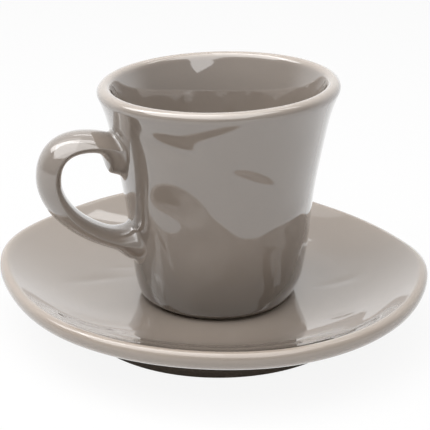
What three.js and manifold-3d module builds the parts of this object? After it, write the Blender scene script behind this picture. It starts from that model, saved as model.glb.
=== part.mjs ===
// Espresso cup and saucer in glazed stoneware with a hand-pressed look.
// Millimetres, +Z up. The cup stands loose in the saucer's well, and its handle points along -X.
import * as THREE from 'three';
import { mergeVertices } from 'three/addons/utils/BufferGeometryUtils.js';
import Module from 'manifold-3d';

// Cup wall, with heights measured from the cup's own foot
const CUP_HEIGHT = 61.2;
const MOUTH_RADIUS = 32.7;
const BODY_RADIUS = 24;
const WALL = 3.9;
const FLOOR = 3.6;
const FLOOR_CORNER = 7;
const BEND_HEIGHT = 20;
const BEND_LENGTH = 5;
const LIP_FLARE = 2.17;
const LIP_FLARE_HEIGHT = 57.5;
const LIP_FLARE_LENGTH = 2.44;
const HEEL_ROUND = 2.2;
const HEEL_LENGTH = 4.5;

// The lip flares this much more on the side that this turn, in degrees, points to
const FLARE_CHANGE = 1;
const FLARE_CHANGE_TURN = 64;

// The rim stands this much higher on the side that this turn, in degrees, points to
const RIM_RISE = 0.84;
const RIM_RISE_TURN = -21;

// Cup foot ring, set in from the edge of the cup's underside
const CUP_FOOT_HEIGHT = 1;
const CUP_FOOT_INSET = 1.7;
const CUP_FOOT_WIDTH = 4;

// Handle: roots on the wall, the line's furthest point beyond the body, and how far the ends pull the line
const HANDLE_TOP_DROP = 16.8;
const HANDLE_BOTTOM_HEIGHT = 17.7;
const HANDLE_STANDOFF = 23.4;
const HANDLE_BELLY_DROP = 5.4;
const HANDLE_TOP_PULL = 17.4;
const HANDLE_TOP_LIFT = 7.7;
const HANDLE_BOTTOM_PULL = 18.8;
const HANDLE_BOTTOM_LIFT = 2.4;
const HANDLE_BELLY_PULL_UP = 8.5;
const HANDLE_BELLY_PULL_DOWN = 7.7;
const HANDLE_ROOT_DEPTH = 5;

// Handle section: two arches, outside and inside the loop, that meet at the sides in a soft crease
const HANDLE_WIDTH = 13.2;
const HANDLE_OUTER_DEPTH = 2.9;
const HANDLE_INNER_DEPTH = 2.6;
const HANDLE_OUTER_ARCH = 1.8;
const HANDLE_INNER_ARCH = 1.25;
const HANDLE_BELLY_SWELL = 0.4;
const HANDLE_BELLY_LENGTH = 12;

// How much thicker the handle is where it meets the wall, outside and inside its loop, and over what length
const UPPER_ROOT = { outer: -0.3, outerLength: 4.6, inner: 5.1, innerLength: 3.4 };
const LOWER_ROOT = { outer: 2.3, outerLength: 3.6, inner: 2.7, innerLength: 4.2 };

// Slip that joins the handle to the wall
const SLIP_THICKNESS = 1.2;
const SLIP_OVERHANG = 0.8;
const SLIP_REACH = 16;
const CLEARANCE = 0.3;

// Saucer
const SAUCER_RADIUS = 59.5;
const SAUCER_RIM_HEIGHT = 17.8;
const CREST_RADIUS = 1.7;
const RIM_UNDER_RADIUS = 3;
const RIM_FACE_LEAN = 13;
const SAUCER_FLOOR = 4.5;
const WELL_CLEARANCE = 3.3;
const DISH_BEND_RADIUS = 41;
const SAUCER_FOOT_RADIUS = 38.3;
const SAUCER_FOOT_HEIGHT = 3.5;
const SAUCER_FOOT_WIDTH = 4;
const FOOT_CHAMFER = 0.5;

// The saucer's rim at every thirty degrees from +X: further out than its radius, and above its height
const REACH_CHANGES = [-3.6, -4, 0.8, 2.5, 1.6, 2.6, -0.5, -0.2, 0.3, 0.9, -0.1, -1.4];
const RIM_CHANGES = [-0.8, -0.6, 0.1, 0.2, 0, 0.7, 0, 0, -0.1, -0.3, 0, 1.4];

// Thumb marks in the cup's wall: where, half width, half height, lean in degrees and depth. A negative
// depth is a swelling that was pushed out from inside.
const CUP_PRESSES = [
  { turn: -134, height: 51, width: 6.5, tall: 2.4, lean: -18, depth: 0.87 },
  { turn: -110, height: 55.1, width: 13, tall: 2.2, lean: 19, depth: 0.3 },
  { turn: -90, height: 40.8, width: 7.3, tall: 2.5, lean: -29, depth: 0.33 },
  { turn: -114, height: 42.8, width: 18.5, tall: 5, lean: -49, depth: 0.51 },
  { turn: -134, height: 30.2, width: 8.3, tall: 6.1, lean: -44, depth: 1.23 },
  { turn: -124, height: 22.6, width: 6.7, tall: 4.6, lean: 20, depth: 1 },
  { turn: -86, height: 21.9, width: 30.6, tall: 9.3, lean: -6, depth: -1.4 },
  { turn: -67, height: 28.4, width: 6, tall: 2.8, lean: 9, depth: -0.47 },
  { turn: -45, height: 2, width: 11, tall: 3.5, lean: 0, depth: 1 },
  { turn: 20, height: 30, width: 12, tall: 14, lean: 0, depth: 0.7 },
  { turn: 80, height: 22, width: 12, tall: 12, lean: 0, depth: 0.7 },
  { turn: 130, height: 40, width: 12, tall: 12, lean: 0, depth: 0.6 },
];

// Hollows in the saucer's dish: where, half length, half width, lean in degrees from round the rim, depth
const SAUCER_HOLLOWS = [
  { turn: -162, radius: 44.5, along: 12, across: 4, lean: -45, depth: 0.5 },
  { turn: 131, radius: 31.7, along: 4, across: 1.2, lean: 48, depth: 0.1 },
  { turn: 151, radius: 35.2, along: 9, across: 2, lean: 48, depth: 0.2 },
  { turn: -54, radius: 38.6, along: 3.4, across: 1, lean: 44, depth: 0.1 },
  { turn: -60, radius: 51, along: 12, across: 3, lean: 0, depth: 0.35 },
  { turn: -15, radius: 35.6, along: 6, across: 2, lean: 80, depth: 0.2 },
  { turn: 4, radius: 44, along: 12, across: 7, lean: 0, depth: 0.4 },
  { turn: 75, radius: 45, along: 15, across: 7, lean: 0, depth: 0.7 },
];

// Fineness of the facets
const CUP_SIDES = 48;
const WALL_STEPS = 16;
const INSIDE_STEPS = 10;
const LIP_STEPS = 6;
const LIP_ROUNDS = 10;
const CORNER_STEPS = 4;
const SAUCER_SIDES = 64;
const DISH_STEPS = 9;
const UNDERSIDE_STEPS = 5;
const EDGE_STEPS = 4;
const HANDLE_STEPS = 30;
const HANDLE_SIDES = 16;

const GLAZE_COLOUR = 0x9a9088;
const DRY_FOOT_COLOUR = 0x7c7167;

const wasm = await Module();
wasm.setup();

const { lerp, clamp, degToRad } = THREE.MathUtils;

/** Keep only positions, join shared corners and drop the empty triangles at the poles. */
function closed(geometry) {
  const bare = new THREE.BufferGeometry();
  bare.setAttribute('position', geometry.getAttribute('position').clone());
  bare.setIndex(geometry.getIndex());
  const merged = mergeVertices(bare);
  const corners = merged.getIndex().array;
  const kept = [];
  for (let i = 0; i < corners.length; i += 3) {
    const [a, b, c] = corners.slice(i, i + 3);
    if (a !== b && b !== c && c !== a) kept.push(a, b, c);
  }
  merged.setIndex(kept);
  return merged;
}

/** A closed geometry as a solid that can be cut and joined. */
function solid(geometry) {
  const mesh = new wasm.Mesh({
    numProp: 3,
    vertProperties: new Float32Array(geometry.getAttribute('position').array),
    triVerts: new Uint32Array(geometry.getIndex().array),
  });
  return new wasm.Manifold(mesh);
}

/** The geometry of a cut or joined solid. */
function geometryOf(manifold) {
  const mesh = manifold.getMesh();
  const geometry = new THREE.BufferGeometry();
  geometry.setAttribute('position', new THREE.BufferAttribute(mesh.vertProperties, 3));
  geometry.setIndex(new THREE.BufferAttribute(mesh.triVerts, 1));
  return geometry;
}

/** Turn a profile of (radius, height) points about +Z, then move each corner by what press gives. */
function turned(profile, sides, press = (turn, radius, height) => [radius, height]) {
  const geometry = new THREE.LatheGeometry(profile, sides).rotateX(Math.PI / 2);
  const corners = geometry.getAttribute('position');
  for (let i = 0; i < corners.count; i += 1) {
    const turn = Math.atan2(corners.getY(i), corners.getX(i));
    const radius = Math.hypot(corners.getX(i), corners.getY(i));
    const [newRadius, newHeight] = press(turn, radius, corners.getZ(i));
    corners.setXYZ(i, newRadius * Math.cos(turn), newRadius * Math.sin(turn), newHeight);
  }
  return closed(geometry);
}

/** Points on a circular arc in a profile. */
function arc(centre, radius, from, to, steps) {
  return Array.from({ length: steps + 1 }, (_, i) => {
    const angle = lerp(from, to, i / steps);
    return new THREE.Vector2(centre.x + radius * Math.cos(angle), centre.y + radius * Math.sin(angle));
  });
}

/** Angle between two turns, from minus half a turn to half a turn. */
function turnBetween(turn, degrees) {
  const difference = turn - degToRad(degrees);
  return Math.atan2(Math.sin(difference), Math.cos(difference));
}

// Cup wall

const lipRadius = WALL / 2;
const lipHeight = CUP_HEIGHT - lipRadius;
const coneHeight = lipHeight - BEND_HEIGHT;
const lipStep = flareStep(lipHeight);
const openingSlope = (MOUTH_RADIUS - LIP_FLARE * lipStep - BODY_RADIUS) / coneHeight;
const heelRadius = BODY_RADIUS - HEEL_ROUND;

/** Smooth step from 0 below the lip's flare to 1 above it. */
function flareStep(height) {
  return 1 / (1 + Math.exp((LIP_FLARE_HEIGHT - height) / LIP_FLARE_LENGTH));
}

/** Height above the bend, softened to nothing below it. */
function opening(height) {
  return BEND_LENGTH * Math.log1p(Math.exp((height - BEND_HEIGHT) / BEND_LENGTH));
}

/** Outer radius at a height: a straight body that bends softly into a cone, a flared lip, a drawn-in heel. */
function wallRadius(height) {
  const heel = HEEL_ROUND * Math.exp((CUP_FOOT_HEIGHT - height) / HEEL_LENGTH);
  return BODY_RADIUS + openingSlope * opening(height) + LIP_FLARE * flareStep(height) - heel;
}

/** How fast the outer radius grows with height, the slope of wallRadius. */
function wallSlope(height) {
  const cone = openingSlope / (1 + Math.exp((BEND_HEIGHT - height) / BEND_LENGTH));
  const step = flareStep(height);
  const flare = (LIP_FLARE / LIP_FLARE_LENGTH) * step * (1 - step);
  const heel = (HEEL_ROUND / HEEL_LENGTH) * Math.exp((CUP_FOOT_HEIGHT - height) / HEEL_LENGTH);
  return cone + flare + heel;
}

/** Point of the wall's outside at a height, moved out square to the wall. */
function wallPoint(height, outwards = 0) {
  const lean = Math.atan(wallSlope(height));
  const radius = wallRadius(height) + outwards * Math.cos(lean);
  return new THREE.Vector2(radius, height - outwards * Math.sin(lean));
}

/** Height where the outside runs into the round lip, found by closing in on it. */
function wallTop() {
  let height = lipHeight;
  for (let i = 0; i < LIP_ROUNDS; i += 1) {
    height = lipHeight - lipRadius * Math.sin(Math.atan(wallSlope(height)));
  }
  return height;
}

const topHeight = wallTop();

/** Points up the outside, closer together at the heel and the lip. */
function outsidePoints(outwards) {
  return Array.from({ length: WALL_STEPS + 1 }, (_, i) => {
    const share = (1 - Math.cos((Math.PI * i) / WALL_STEPS)) / 2;
    return wallPoint(lerp(CUP_FOOT_HEIGHT, topHeight, share), outwards);
  });
}

/** Closed profile of the cup: underside, outside, round lip, inside and floor. */
function cupProfile() {
  const lean = Math.atan(wallSlope(topHeight));
  const lip = arc(wallPoint(topHeight, -lipRadius), lipRadius, -lean, Math.PI - lean, LIP_STEPS);
  const cornerTop = CUP_FOOT_HEIGHT + FLOOR + FLOOR_CORNER;
  const inside = Array.from({ length: INSIDE_STEPS + 1 }, (_, i) =>
    wallPoint(lerp(topHeight, cornerTop, i / INSIDE_STEPS), -WALL));
  const lowest = inside[INSIDE_STEPS];
  const cornerCentre = new THREE.Vector2(lowest.x - FLOOR_CORNER, lowest.y);
  const corner = arc(cornerCentre, FLOOR_CORNER, 0, -Math.PI / 2, CORNER_STEPS);
  return [
    new THREE.Vector2(0, CUP_FOOT_HEIGHT),
    ...outsidePoints(0),
    ...lip.slice(1, -1),
    ...inside,
    ...corner.slice(1),
    new THREE.Vector2(0, corner[CORNER_STEPS].y),
  ];
}

/**
 * Press the marks into the cup, less towards its axis, flare one side of the lip more and lift one side of
 * the rim. Where the lip flares more the cone below opens less, so the mouth stays round.
 */
function pressCup(turn, radius, height) {
  const outside = wallRadius(height);
  const flared = FLARE_CHANGE * (flareStep(height) - (lipStep * opening(height)) / coneHeight);
  let depth = -flared * Math.cos(turnBetween(turn, FLARE_CHANGE_TURN));
  for (const mark of CUP_PRESSES) {
    const across = outside * turnBetween(turn, mark.turn);
    const up = height - mark.height;
    const lean = degToRad(mark.lean);
    const longWay = (across * Math.cos(lean) + up * Math.sin(lean)) / mark.width;
    const shortWay = (up * Math.cos(lean) - across * Math.sin(lean)) / mark.tall;
    depth += mark.depth * Math.exp(-longWay * longWay - shortWay * shortWay);
  }
  const share = radius / outside;
  const rise = ((height - CUP_FOOT_HEIGHT) / (CUP_HEIGHT - CUP_FOOT_HEIGHT)) ** 3;
  const side = (radius * Math.cos(turnBetween(turn, RIM_RISE_TURN))) / MOUTH_RADIUS;
  return [radius - depth * share * share, height + RIM_RISE * rise * side];
}

/** The cup's outer form as one full solid, grown outwards, for fitting the handle to it. */
function cupEnvelope(outwards) {
  const outside = outsidePoints(outwards);
  const profile = [
    new THREE.Vector2(0, outside[0].y),
    ...outside,
    new THREE.Vector2(0, outside[WALL_STEPS].y),
  ];
  return solid(turned(profile, CUP_SIDES, pressCup));
}

// Handle

/** The handle's middle line as (distance from the axis, height): two arms that meet at the belly. */
function handleLine() {
  const [upperRoot, lowerRoot] = [CUP_HEIGHT - HANDLE_TOP_DROP, HANDLE_BOTTOM_HEIGHT].map(
    (height) => new THREE.Vector2(wallRadius(height) - HANDLE_ROOT_DEPTH, height));
  const belly = new THREE.Vector2(BODY_RADIUS + HANDLE_STANDOFF, upperRoot.y - HANDLE_BELLY_DROP);
  const line = new THREE.CurvePath();
  line.add(new THREE.CubicBezierCurve(
    upperRoot,
    new THREE.Vector2(upperRoot.x + HANDLE_TOP_PULL, upperRoot.y + HANDLE_TOP_LIFT),
    new THREE.Vector2(belly.x, belly.y + HANDLE_BELLY_PULL_UP),
    belly,
  ));
  line.add(new THREE.CubicBezierCurve(
    belly,
    new THREE.Vector2(belly.x, belly.y - HANDLE_BELLY_PULL_DOWN),
    new THREE.Vector2(lowerRoot.x + HANDLE_BOTTOM_PULL, lowerRoot.y + HANDLE_BOTTOM_LIFT),
    lowerRoot,
  ));
  return line;
}

/** A flare at a root that fades with the distance along the handle from the wall. */
function rootFlare(fromStart, flare, flareLength) {
  const fromWall = Math.max(0, fromStart - HANDLE_ROOT_DEPTH) / flareLength;
  return flare * Math.exp(-fromWall * fromWall);
}

/** Depth of the arches outside and inside the loop at a distance along the handle's line. */
function handleDepths(line, distance) {
  const fromEnd = line.getLength() - distance;
  const fromBelly = (distance - line.curves[0].getLength()) / HANDLE_BELLY_LENGTH;
  const swell = HANDLE_BELLY_SWELL * Math.exp(-fromBelly * fromBelly);
  return {
    outer: HANDLE_OUTER_DEPTH + swell + rootFlare(distance, UPPER_ROOT.outer, UPPER_ROOT.outerLength)
      + rootFlare(fromEnd, LOWER_ROOT.outer, LOWER_ROOT.outerLength),
    inner: HANDLE_INNER_DEPTH + swell + rootFlare(distance, UPPER_ROOT.inner, UPPER_ROOT.innerLength)
      + rootFlare(fromEnd, LOWER_ROOT.inner, LOWER_ROOT.innerLength),
  };
}

/** One point of the section, as shares of its half width and of the depth of its arch. */
function sectionPoint(side) {
  const angle = (2 * Math.PI * side) / HANDLE_SIDES;
  const rise = Math.abs(Math.sin(angle));
  const outwards = side < HANDLE_SIDES / 2 ? rise ** HANDLE_OUTER_ARCH : -(rise ** HANDLE_INNER_ARCH);
  return { across: Math.cos(angle), outwards };
}

/** Carry the section along the handle's line between two distances, grown all round by some margin. */
function handleSweep(line, from, to, margin = 0) {
  const length = line.getLength();
  const steps = Math.ceil((HANDLE_STEPS * (to - from)) / length);
  const points = [];
  const corners = [];
  for (let step = 0; step <= steps; step += 1) {
    const distance = lerp(from, to, step / steps);
    const centre = line.getPointAt(distance / length);
    const along = line.getTangentAt(distance / length);
    const { outer, inner } = handleDepths(line, distance);
    for (let side = 0; side < HANDLE_SIDES; side += 1) {
      const { across, outwards } = sectionPoint(side);
      const depth = (outwards > 0 ? outer : inner) + margin;
      const out = centre.x - along.y * depth * outwards;
      const up = centre.y + along.x * depth * outwards;
      points.push(-out, (HANDLE_WIDTH / 2 + margin) * across, up);
    }
  }
  for (let step = 0; step < steps; step += 1) {
    for (let side = 0; side < HANDLE_SIDES; side += 1) {
      const next = (side + 1) % HANDLE_SIDES;
      const a = step * HANDLE_SIDES + side;
      const b = step * HANDLE_SIDES + next;
      corners.push(a, b + HANDLE_SIDES, b, a, a + HANDLE_SIDES, b + HANDLE_SIDES);
    }
  }
  const last = steps * HANDLE_SIDES;
  for (let side = 1; side < HANDLE_SIDES - 1; side += 1) {
    corners.push(0, side, side + 1, last, last + side + 1, last + side);
  }
  const geometry = new THREE.BufferGeometry();
  geometry.setAttribute('position', new THREE.Float32BufferAttribute(points, 3));
  geometry.setIndex(corners);
  return solid(geometry);
}

// Saucer

const wellRadius = heelRadius + WELL_CLEARANCE;
const wellHeight = SAUCER_FOOT_HEIGHT + SAUCER_FLOOR;
const faceLean = degToRad(RIM_FACE_LEAN);
const crestDrop = (RIM_UNDER_RADIUS - CREST_RADIUS) * Math.sin(faceLean);
const crestInset = RIM_UNDER_RADIUS - (RIM_UNDER_RADIUS - CREST_RADIUS) * Math.cos(faceLean);
const edgeStart = SAUCER_RADIUS - crestInset;
const crestMiddle = SAUCER_RIM_HEIGHT - CREST_RADIUS;
const rimMiddle = crestMiddle - crestDrop;

/** Value at a turn on a smooth closed curve through values spaced evenly round the saucer. */
function around(values, turn) {
  const count = values.length;
  const place = ((turn / (2 * Math.PI) + 1) % 1) * count;
  const first = Math.floor(place);
  const share = place - first;
  const [before, from, to, after] = [-1, 0, 1, 2].map((step) => values[(first + step + count) % count]);
  const slopeFrom = (to - before) / 2;
  const slopeTo = (after - from) / 2;
  const cubic = 2 * (from - to) + slopeFrom + slopeTo;
  const square = 3 * (to - from) - 2 * slopeFrom - slopeTo;
  return ((cubic * share + square) * share + slopeFrom) * share + from;
}

/**
 * Closed profile of the dish: flat underside, straight flank, an edge with a full underside and a narrower
 * crest, curved dish and flat well.
 */
function dishProfile() {
  const crest = new THREE.Vector2(edgeStart, crestMiddle);
  const under = new THREE.Vector2(SAUCER_RADIUS - RIM_UNDER_RADIUS, rimMiddle);
  const flankFoot = new THREE.Vector2(SAUCER_FOOT_RADIUS, SAUCER_FOOT_HEIGHT);
  const bend = new THREE.Vector2(DISH_BEND_RADIUS, wellHeight);
  const toUnder = under.clone().sub(flankFoot);
  const flankAngle = toUnder.angle() - Math.asin(RIM_UNDER_RADIUS / toUnder.length());
  const bendToCrest = crest.clone().sub(bend);
  const dishAngle = bendToCrest.angle() + Math.asin(CREST_RADIUS / bendToCrest.length());
  const lowerRim = arc(under, RIM_UNDER_RADIUS, flankAngle - Math.PI / 2, faceLean, EDGE_STEPS);
  const upperRim = arc(crest, CREST_RADIUS, faceLean, dishAngle + Math.PI / 2, EDGE_STEPS);
  const flank = new THREE.LineCurve(flankFoot, lowerRim[0]).getPoints(UNDERSIDE_STEPS);
  const well = new THREE.Vector2(wellRadius, wellHeight);
  const dish = new THREE.QuadraticBezierCurve(upperRim[EDGE_STEPS], bend, well).getPoints(DISH_STEPS);
  return [
    new THREE.Vector2(0, SAUCER_FOOT_HEIGHT),
    ...flank,
    ...lowerRim.slice(1),
    ...upperRim.slice(1, -1),
    ...dish,
    new THREE.Vector2(0, wellHeight),
  ];
}

/** Draw the round dish out to its uneven rim and press the hollows into its upper side. */
function pressDish(turn, radius, height) {
  const share = clamp((radius - SAUCER_FOOT_RADIUS) / (edgeStart - SAUCER_FOOT_RADIUS), 0, 1);
  const flankRise = (rimMiddle - SAUCER_FOOT_HEIGHT) * share;
  const aboveFlank = clamp((height - SAUCER_FOOT_HEIGHT - flankRise) / RIM_UNDER_RADIUS, 0, 1);
  let depth = 0;
  for (const hollow of SAUCER_HOLLOWS) {
    const round = hollow.radius * turnBetween(turn, hollow.turn);
    const outwards = radius - hollow.radius;
    const lean = degToRad(hollow.lean);
    const along = (round * Math.cos(lean) + outwards * Math.sin(lean)) / hollow.along;
    const across = (outwards * Math.cos(lean) - round * Math.sin(lean)) / hollow.across;
    depth += hollow.depth * Math.exp(-along * along - across * across);
  }
  const inDish = radius > wellRadius ? aboveFlank : 0;
  return [
    radius + share * around(REACH_CHANGES, turn),
    height + share * share * around(RIM_CHANGES, turn) - depth * inDish,
  ];
}

/** Closed profile of a foot ring with its lower corners taken off. */
function ringProfile(outer, width, height) {
  const inner = outer - width;
  return [
    [inner, height],
    [inner, FOOT_CHAMFER],
    [inner + FOOT_CHAMFER, 0],
    [outer - FOOT_CHAMFER, 0],
    [outer, FOOT_CHAMFER],
    [outer, height],
    [inner, height],
  ].map(([radius, z]) => new THREE.Vector2(radius, z));
}

// Assembly

const glaze = new THREE.MeshStandardMaterial({ color: GLAZE_COLOUR, roughness: 0.12, metalness: 0 });
const dryFoot = new THREE.MeshStandardMaterial({ color: DRY_FOOT_COLOUR, roughness: 0.9, metalness: 0 });

/** A named mesh of one piece. */
function piece(name, geometry, material) {
  const mesh = new THREE.Mesh(geometry, material);
  mesh.name = name;
  return mesh;
}

const line = handleLine();
const lineLength = line.getLength();
const slipOuter = CLEARANCE + SLIP_THICKNESS;
const slipShell = cupEnvelope(slipOuter).subtract(cupEnvelope(CLEARANCE));
const handle = handleSweep(line, 0, lineLength).subtract(cupEnvelope(slipOuter + CLEARANCE));
const upperSlip = handleSweep(line, 0, SLIP_REACH, SLIP_OVERHANG).intersect(slipShell);
const lowerSlip = handleSweep(line, lineLength - SLIP_REACH, lineLength, SLIP_OVERHANG).intersect(slipShell);

const cupFoot = ringProfile(heelRadius - CUP_FOOT_INSET, CUP_FOOT_WIDTH, CUP_FOOT_HEIGHT);
const saucerFoot = ringProfile(SAUCER_FOOT_RADIUS, SAUCER_FOOT_WIDTH, SAUCER_FOOT_HEIGHT);

const saucer = new THREE.Group();
saucer.add(piece('saucer_dish', turned(dishProfile(), SAUCER_SIDES, pressDish), glaze));
saucer.add(piece('saucer_foot_ring', turned(saucerFoot, SAUCER_SIDES), dryFoot));

const cup = new THREE.Group();
cup.position.z = wellHeight;
cup.add(piece('cup_body', turned(cupProfile(), CUP_SIDES, pressCup), glaze));
cup.add(piece('cup_foot_ring', turned(cupFoot, CUP_SIDES), dryFoot));
cup.add(piece('cup_handle', geometryOf(handle), glaze));
cup.add(piece('handle_upper_slip_joint', geometryOf(upperSlip), glaze));
cup.add(piece('handle_lower_slip_joint', geometryOf(lowerSlip), glaze));

// The origin lies under the middle of the saucer's outline
const cupAndSaucer = new THREE.Group();
cupAndSaucer.add(saucer, cup);
const middle = new THREE.Box3().setFromObject(saucer).getCenter(new THREE.Vector3());
cupAndSaucer.position.set(-middle.x, -middle.y, 0);

export default cupAndSaucer;
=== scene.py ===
"""Espresso cup and saucer in glazed stoneware: the fired surfaces, their glaze and a plain studio.

Lengths in the classes are millimetres, as a potter measures; finishes, lamps, the floor and the camera's
near clip are in metres, as are the meshes.
Heights on the cup are measured from its own foot, and turns are degrees from +X about the cup's axis.
"""

import logging
import math
from collections.abc import Callable
from dataclasses import dataclass, field, replace
from enum import Enum
from typing import ClassVar

import bpy
import numpy as np
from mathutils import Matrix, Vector


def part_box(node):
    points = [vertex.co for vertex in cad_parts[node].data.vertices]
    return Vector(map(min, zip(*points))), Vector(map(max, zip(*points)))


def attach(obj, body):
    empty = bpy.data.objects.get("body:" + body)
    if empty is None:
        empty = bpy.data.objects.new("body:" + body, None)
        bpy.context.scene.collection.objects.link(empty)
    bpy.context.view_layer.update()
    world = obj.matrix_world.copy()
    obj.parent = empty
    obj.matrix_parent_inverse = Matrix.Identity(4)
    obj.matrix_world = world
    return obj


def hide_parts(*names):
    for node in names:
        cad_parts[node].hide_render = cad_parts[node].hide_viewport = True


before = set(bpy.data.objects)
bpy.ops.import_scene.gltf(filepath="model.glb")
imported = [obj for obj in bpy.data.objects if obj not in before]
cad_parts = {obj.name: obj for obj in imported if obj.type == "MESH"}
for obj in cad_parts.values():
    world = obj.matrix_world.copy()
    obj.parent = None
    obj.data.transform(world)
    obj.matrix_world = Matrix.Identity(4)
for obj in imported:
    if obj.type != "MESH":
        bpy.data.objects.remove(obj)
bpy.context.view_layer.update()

MM = 0.001
# Radius where a turned profile stops short of its axis; a fan of faces closes the rest
TIP_RADIUS = 0.5
# Room between the cup's heel and the edge of the saucer's flat well
WELL_CLEARANCE = 3.3
# Rounds of closing in on the place where the cup's outside meets its lip
CLOSING_ROUNDS = 10
Array = np.ndarray
Piece = bpy.types.Object
Material = bpy.types.Material
Tree = bpy.types.NodeTree
Socket = bpy.types.NodeSocket
Pair = tuple[Array, Array]
Colour = tuple[float, float, float]
WHITE = (1.0, 1.0, 1.0, 1.0)
log = logging.getLogger("cup_and_saucer")


class Body(Enum):
    """The two bodies of the frame that pieces ride on."""

    SAUCER = "saucer"
    CUP = "cup"


class Slot(Enum):
    """The record's material slots."""

    GLAZE = "taupe_glaze"
    DRY_FOOT = "dry_foot"


# Arrays and curves


def turn_between(turn: Array, degrees: float) -> Array:
    """Angle from a direction to each turn, wrapped to half a turn either way.

    Args:
        turn: Turns in radians.
        degrees: The direction, in degrees.

    Returns:
        The wrapped differences, in radians.
    """
    difference = turn - math.radians(degrees)
    return np.arctan2(np.sin(difference), np.cos(difference))


def arc(centre: Array, radius: float, start: float, end: float, steps: int) -> Array:
    """Points at even angles on a circle: centre plus radius times (cos, sin).

    Args:
        centre: Middle of the circle, (radius, height).
        radius: Radius of the circle.
        start: First angle in radians.
        end: Last angle in radians.
        steps: Number of steps between them.

    Returns:
        Array of (steps + 1, 2) points.
    """
    angle = np.linspace(start, end, steps + 1)
    return np.asarray(centre) + radius * np.stack([np.cos(angle), np.sin(angle)], axis=-1)


def bezier(points: list[Array], share: Array) -> Array:
    """Bezier curve by repeated mixing: each round mixes neighbouring points until one is left.

    Args:
        points: Control points, arrays that broadcast against each other.
        share: Places along the curve from 0 to 1, shaped to broadcast against the points.

    Returns:
        The curve's points.
    """
    row = [np.asarray(point, dtype=float) for point in points]
    while len(row) > 1:
        row = [first + (second - first) * share for first, second in zip(row, row[1:])]
    return row[0]


def running_length(points: Array) -> Array:
    """Length of a line up to each of its points, summed from the gaps between neighbours.

    Args:
        points: Array of (n, 2) points along the line.

    Returns:
        Array of n lengths, the first 0.
    """
    return np.concatenate([[0.0], np.cumsum(np.linalg.norm(np.diff(points, axis=0), axis=1))])


def level_row(radius: Array, height: float) -> Array:
    """Profile points that all lie at one height.

    Args:
        radius: The points' radii.
        height: Their height.

    Returns:
        Array of (n, 2) points.
    """
    return np.stack([radius, np.full(len(radius), height)], axis=-1)


def around(values: tuple[float, ...], turn: Array) -> Array:
    """Smooth closed curve through even values: cubics whose slopes are half the neighbours' gap.

    Args:
        values: Values at even turns, the first at +X.
        turn: Turns in radians.

    Returns:
        The curve's value at each turn.
    """
    known = np.asarray(values)
    place = np.mod(turn / (2 * np.pi), 1.0) * len(known)
    first = np.floor(place).astype(int)
    share = place - first
    before, start, end, after = (known[(first + step) % len(known)] for step in (-1, 0, 1, 2))
    slope_start = (end - before) / 2
    slope_end = (after - start) / 2
    cubic = 2 * (start - end) + slope_start + slope_end
    square = 3 * (end - start) - 2 * slope_start - slope_end
    return ((cubic * share + square) * share + slope_start) * share + start


# Meshes


def tube_faces(rows: int, columns: int) -> Array:
    """Quads between each row of a grid and the next, closed round the columns.

    Args:
        rows: Number of rows.
        columns: Number of points round each row.

    Returns:
        Array of (faces, 4) corner numbers, wound so that rows running up with turning columns face out.
    """
    row = np.arange(rows - 1)[:, None] * columns
    column = np.arange(columns)[None, :]
    following = (column + 1) % columns
    corners = [row + column, row + following, row + columns + following, row + columns + column]
    return np.stack(corners, axis=-1).reshape(-1, 4)


def new_piece(
    name: str, points: Array, faces: list[list[int]], run: Array | None = None
) -> Piece:
    """Put points and faces into a smooth mesh object at the origin.

    Args:
        name: Name of the piece.
        points: Array of (n, 3) points in millimetres.
        faces: Corner numbers of each face.
        run: Mark at each point: 1 where the glaze is thin over an edge, -1 where painted shade darkens it.

    Returns:
        The new object, linked to the scene.
    """
    mesh = bpy.data.meshes.new(name)
    mesh.from_pydata((points * MM).tolist(), [], faces)
    mesh.polygons.foreach_set("use_smooth", np.ones(len(mesh.polygons), dtype=bool))
    attribute = mesh.attributes.new("thin_glaze_and_painted_shade", "FLOAT", "POINT")
    attribute.data.foreach_set("value", np.zeros(len(points)) if run is None else run.astype(np.float32))
    mesh.update()
    piece = bpy.data.objects.new(name, mesh)
    bpy.context.scene.collection.objects.link(piece)
    return piece


def closed_tube(name: str, grid: Array, run: Array | None = None) -> Piece:
    """Mesh of a grid of rows closed round its columns, with a fan to a tip at each end.

    Args:
        name: Name of the piece.
        grid: Array of (rows, columns, 3) points; the tips are the middles of the end rows.
        run: Thin-glaze and painted-shade mark of each row.

    Returns:
        The new object.
    """
    rows, columns, _ = grid.shape
    tips = np.stack([grid[0].mean(axis=0), grid[-1].mean(axis=0)])
    points = np.concatenate([grid.reshape(-1, 3), tips])
    count = rows * columns
    last = count - columns
    ring = np.arange(columns)
    following = np.roll(ring, -1)
    first_fan = np.stack([following, ring, np.full(columns, count)], axis=-1)
    last_fan = np.stack([last + ring, last + following, np.full(columns, count + 1)], axis=-1)
    faces = tube_faces(rows, columns).tolist() + first_fan.tolist() + last_fan.tolist()
    if run is not None:
        run = np.concatenate([np.repeat(run, columns), [0.0, 0.0]])
    return new_piece(name, points, faces, run)


def closed_ring(name: str, grid: Array, sharp_rows: tuple[int, ...] = ()) -> Piece:
    """Mesh of a grid closed both round its columns and from its last row to its first.

    Args:
        name: Name of the piece.
        grid: Array of (rows, columns, 3) points.
        sharp_rows: Rows whose edges keep a crease in the shading.

    Returns:
        The new object.
    """
    rows, columns, _ = grid.shape
    faces = tube_faces(rows + 1, columns) % (rows * columns)
    piece = new_piece(name, grid.reshape(-1, 3), faces.tolist())
    mesh = piece.data
    ends = np.zeros(len(mesh.edges) * 2, dtype=np.int32)
    mesh.edges.foreach_get("vertices", ends)
    first, second = ends.reshape(-1, 2).T // columns
    sharp = (first == second) & np.isin(first, sharp_rows)
    mesh.attributes.new("sharp_edge", "BOOLEAN", "EDGE").data.foreach_set("value", sharp)
    return piece


# Finishes


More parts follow.
